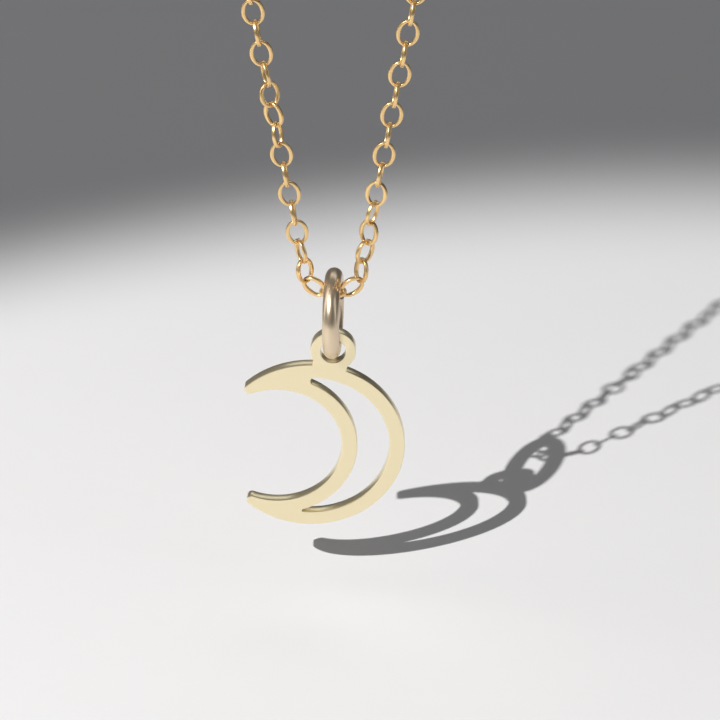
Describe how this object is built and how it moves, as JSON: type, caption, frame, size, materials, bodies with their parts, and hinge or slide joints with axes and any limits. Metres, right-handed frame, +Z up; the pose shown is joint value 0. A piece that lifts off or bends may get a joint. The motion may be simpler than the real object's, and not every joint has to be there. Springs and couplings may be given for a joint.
{
  "type": "pendant necklace",
  "caption": "Fine cable chain necklace with a flat open crescent moon pendant on a round jump ring, chain wound over a display bar, spring ring clasp.",
  "frame": {"origin": "on the axis of the display bar that the chain hangs over, at the middle of the coil", "axes": "+Z up; +X to the wearer's left as the pendant is seen from its front; the pendant's front faces -Y; Y runs along the display bar"},
  "size_m": [0.019, 0.0084, 0.0635],
  "materials": {
    "chain_gold": "bright polished warm gold",
    "pendant_gold": "mirror polished pale gold",
    "ring_gold": "polished gold with a rose cast",
    "clasp_gold": "polished warm gold",
    "spring_steel": "bright spring wire"
  },
  "bodies": {
    "bar_coil": {"chain_coil": "chain_gold", "chain_upper_left": "chain_gold", "chain_upper_right": "chain_gold", "clasp_tube": "clasp_gold", "clasp_spring": "spring_steel", "clasp_eye": "clasp_gold", "clasp_connector_ring": "clasp_gold", "end_ring": "clasp_gold"},
    "clasp_trigger": {"clasp_trigger": "clasp_gold"},
    "link_pair_20": {"link_left_20": "chain_gold", "link_right_20": "chain_gold"},
    "link_pair_19": {"link_left_19": "chain_gold", "link_right_19": "chain_gold"},
    "link_pair_18": {"link_left_18": "chain_gold", "link_right_18": "chain_gold"},
    "link_pair_17": {"link_left_17": "chain_gold", "link_right_17": "chain_gold"},
    "link_pair_16": {"link_left_16": "chain_gold", "link_right_16": "chain_gold"},
    "link_pair_15": {"link_left_15": "chain_gold", "link_right_15": "chain_gold"},
    "link_pair_14": {"link_left_14": "chain_gold", "link_right_14": "chain_gold"},
    "link_pair_13": {"link_left_13": "chain_gold", "link_right_13": "chain_gold"},
    "link_pair_12": {"link_left_12": "chain_gold", "link_right_12": "chain_gold"},
    "link_pair_11": {"link_left_11": "chain_gold", "link_right_11": "chain_gold"},
    "link_pair_10": {"link_left_10": "chain_gold", "link_right_10": "chain_gold"},
    "link_pair_09": {"link_left_09": "chain_gold", "link_right_09": "chain_gold"},
    "link_pair_08": {"link_left_08": "chain_gold", "link_right_08": "chain_gold"},
    "link_pair_07": {"link_left_07": "chain_gold", "link_right_07": "chain_gold"},
    "link_pair_06": {"link_left_06": "chain_gold", "link_right_06": "chain_gold"},
    "link_pair_05": {"link_left_05": "chain_gold", "link_right_05": "chain_gold"},
    "link_pair_04": {"link_left_04": "chain_gold", "link_right_04": "chain_gold"},
    "link_pair_03": {"link_left_03": "chain_gold", "link_right_03": "chain_gold"},
    "link_pair_02": {"link_left_02": "chain_gold", "link_right_02": "chain_gold"},
    "link_pair_01": {"link_left_01": "chain_gold", "link_right_01": "chain_gold"},
    "bottom_link": {"bottom_link": "chain_gold"},
    "jump_ring": {"jump_ring": "ring_gold"},
    "crescent_pendant": {"crescent_pendant": "pendant_gold"}
  },
  "joints": [
    {"name": "pair_20_swing", "type": "hinge", "parent": "bar_coil", "child": "link_pair_20", "pos_m": [0, 0, -0.0132], "axis": [-1, 0, 0], "range_deg": [-60, 60]},
    {"name": "pair_19_swing", "type": "hinge", "parent": "link_pair_20", "child": "link_pair_19", "pos_m": [0, 0, -0.01437], "axis": [1, 0, 0], "range_deg": [-60, 60]},
    {"name": "pair_18_swing", "type": "hinge", "parent": "link_pair_19", "child": "link_pair_18", "pos_m": [0, 0, -0.01553], "axis": [-1, 0, 0], "range_deg": [-60, 60]},
    {"name": "pair_17_swing", "type": "hinge", "parent": "link_pair_18", "child": "link_pair_17", "pos_m": [0, 0, -0.01669], "axis": [1, 0, 0], "range_deg": [-60, 60]},
    {"name": "pair_16_swing", "type": "hinge", "parent": "link_pair_17", "child": "link_pair_16", "pos_m": [0, 0, -0.01786], "axis": [-1, 0, 0], "range_deg": [-60, 60]},
    {"name": "pair_15_swing", "type": "hinge", "parent": "link_pair_16", "child": "link_pair_15", "pos_m": [0, 0, -0.01902], "axis": [1, 0, 0], "range_deg": [-60, 60]},
    {"name": "pair_14_swing", "type": "hinge", "parent": "link_pair_15", "child": "link_pair_14", "pos_m": [0, 0, -0.02018], "axis": [-1, 0, 0], "range_deg": [-60, 60]},
    {"name": "pair_13_swing", "type": "hinge", "parent": "link_pair_14", "child": "link_pair_13", "pos_m": [0, 0, -0.02135], "axis": [1, 0, 0], "range_deg": [-60, 60]},
    {"name": "pair_12_swing", "type": "hinge", "parent": "link_pair_13", "child": "link_pair_12", "pos_m": [0, 0, -0.02251], "axis": [-1, 0, 0], "range_deg": [-60, 60]},
    {"name": "pair_11_swing", "type": "hinge", "parent": "link_pair_12", "child": "link_pair_11", "pos_m": [0, 0, -0.02367], "axis": [1, 0, 0], "range_deg": [-60, 60]},
    {"name": "pair_10_swing", "type": "hinge", "parent": "link_pair_11", "child": "link_pair_10", "pos_m": [0, 0, -0.02484], "axis": [-1, 0, 0], "range_deg": [-60, 60]},
    {"name": "pair_09_swing", "type": "hinge", "parent": "link_pair_10", "child": "link_pair_09", "pos_m": [0, 0, -0.026], "axis": [1, 0, 0], "range_deg": [-60, 60]},
    {"name": "pair_08_swing", "type": "hinge", "parent": "link_pair_09", "child": "link_pair_08", "pos_m": [0, 0, -0.02716], "axis": [-1, 0, 0], "range_deg": [-60, 60]},
    {"name": "pair_07_swing", "type": "hinge", "parent": "link_pair_08", "child": "link_pair_07", "pos_m": [0, 0, -0.02833], "axis": [1, 0, 0], "range_deg": [-60, 60]},
    {"name": "pair_06_swing", "type": "hinge", "parent": "link_pair_07", "child": "link_pair_06", "pos_m": [0, 0, -0.02949], "axis": [-1, 0, 0], "range_deg": [-60, 60]},
    {"name": "pair_05_swing", "type": "hinge", "parent": "link_pair_06", "child": "link_pair_05", "pos_m": [0, 0, -0.03065], "axis": [1, 0, 0], "range_deg": [-60, 60]},
    {"name": "pair_04_swing", "type": "hinge", "parent": "link_pair_05", "child": "link_pair_04", "pos_m": [0, 0, -0.03182], "axis": [-1, 0, 0], "range_deg": [-60, 60]},
    {"name": "pair_03_swing", "type": "hinge", "parent": "link_pair_04", "child": "link_pair_03", "pos_m": [0, 0, -0.03298], "axis": [1, 0, 0], "range_deg": [-60, 60]},
    {"name": "pair_02_swing", "type": "hinge", "parent": "link_pair_03", "child": "link_pair_02", "pos_m": [0, 0, -0.03414], "axis": [-1, 0, 0], "range_deg": [-60, 60]},
    {"name": "pair_01_swing", "type": "hinge", "parent": "link_pair_02", "child": "link_pair_01", "pos_m": [0, 0, -0.03531], "axis": [1, 0, 0], "range_deg": [-60, 60]},
    {"name": "bottom_link_swing", "type": "hinge", "parent": "link_pair_01", "child": "bottom_link", "pos_m": [0, 0, -0.03606], "axis": [-1, 0, 0], "range_deg": [-45, 45]},
    {"name": "jump_ring_swing", "type": "hinge", "parent": "bottom_link", "child": "jump_ring", "pos_m": [0, 0, -0.03738], "axis": [0.9981, -0.061, 0], "range_deg": [-60, 60]},
    {"name": "pendant_swing", "type": "hinge", "parent": "jump_ring", "child": "crescent_pendant", "pos_m": [0, 0, -0.03942], "axis": [0.061, 0.9981, 0], "range_deg": [-60, 60]},
    {"name": "clasp_trigger_pull", "type": "hinge", "parent": "bar_coil", "child": "clasp_trigger", "pos_m": [0, 0, 0.01113], "axis": [0, 0, 1], "range_deg": [0, 44], "stiffness_Nm_per_rad": 0.002, "springref_deg": -17.19, "deforming": ["clasp_spring"]}
  ]
}
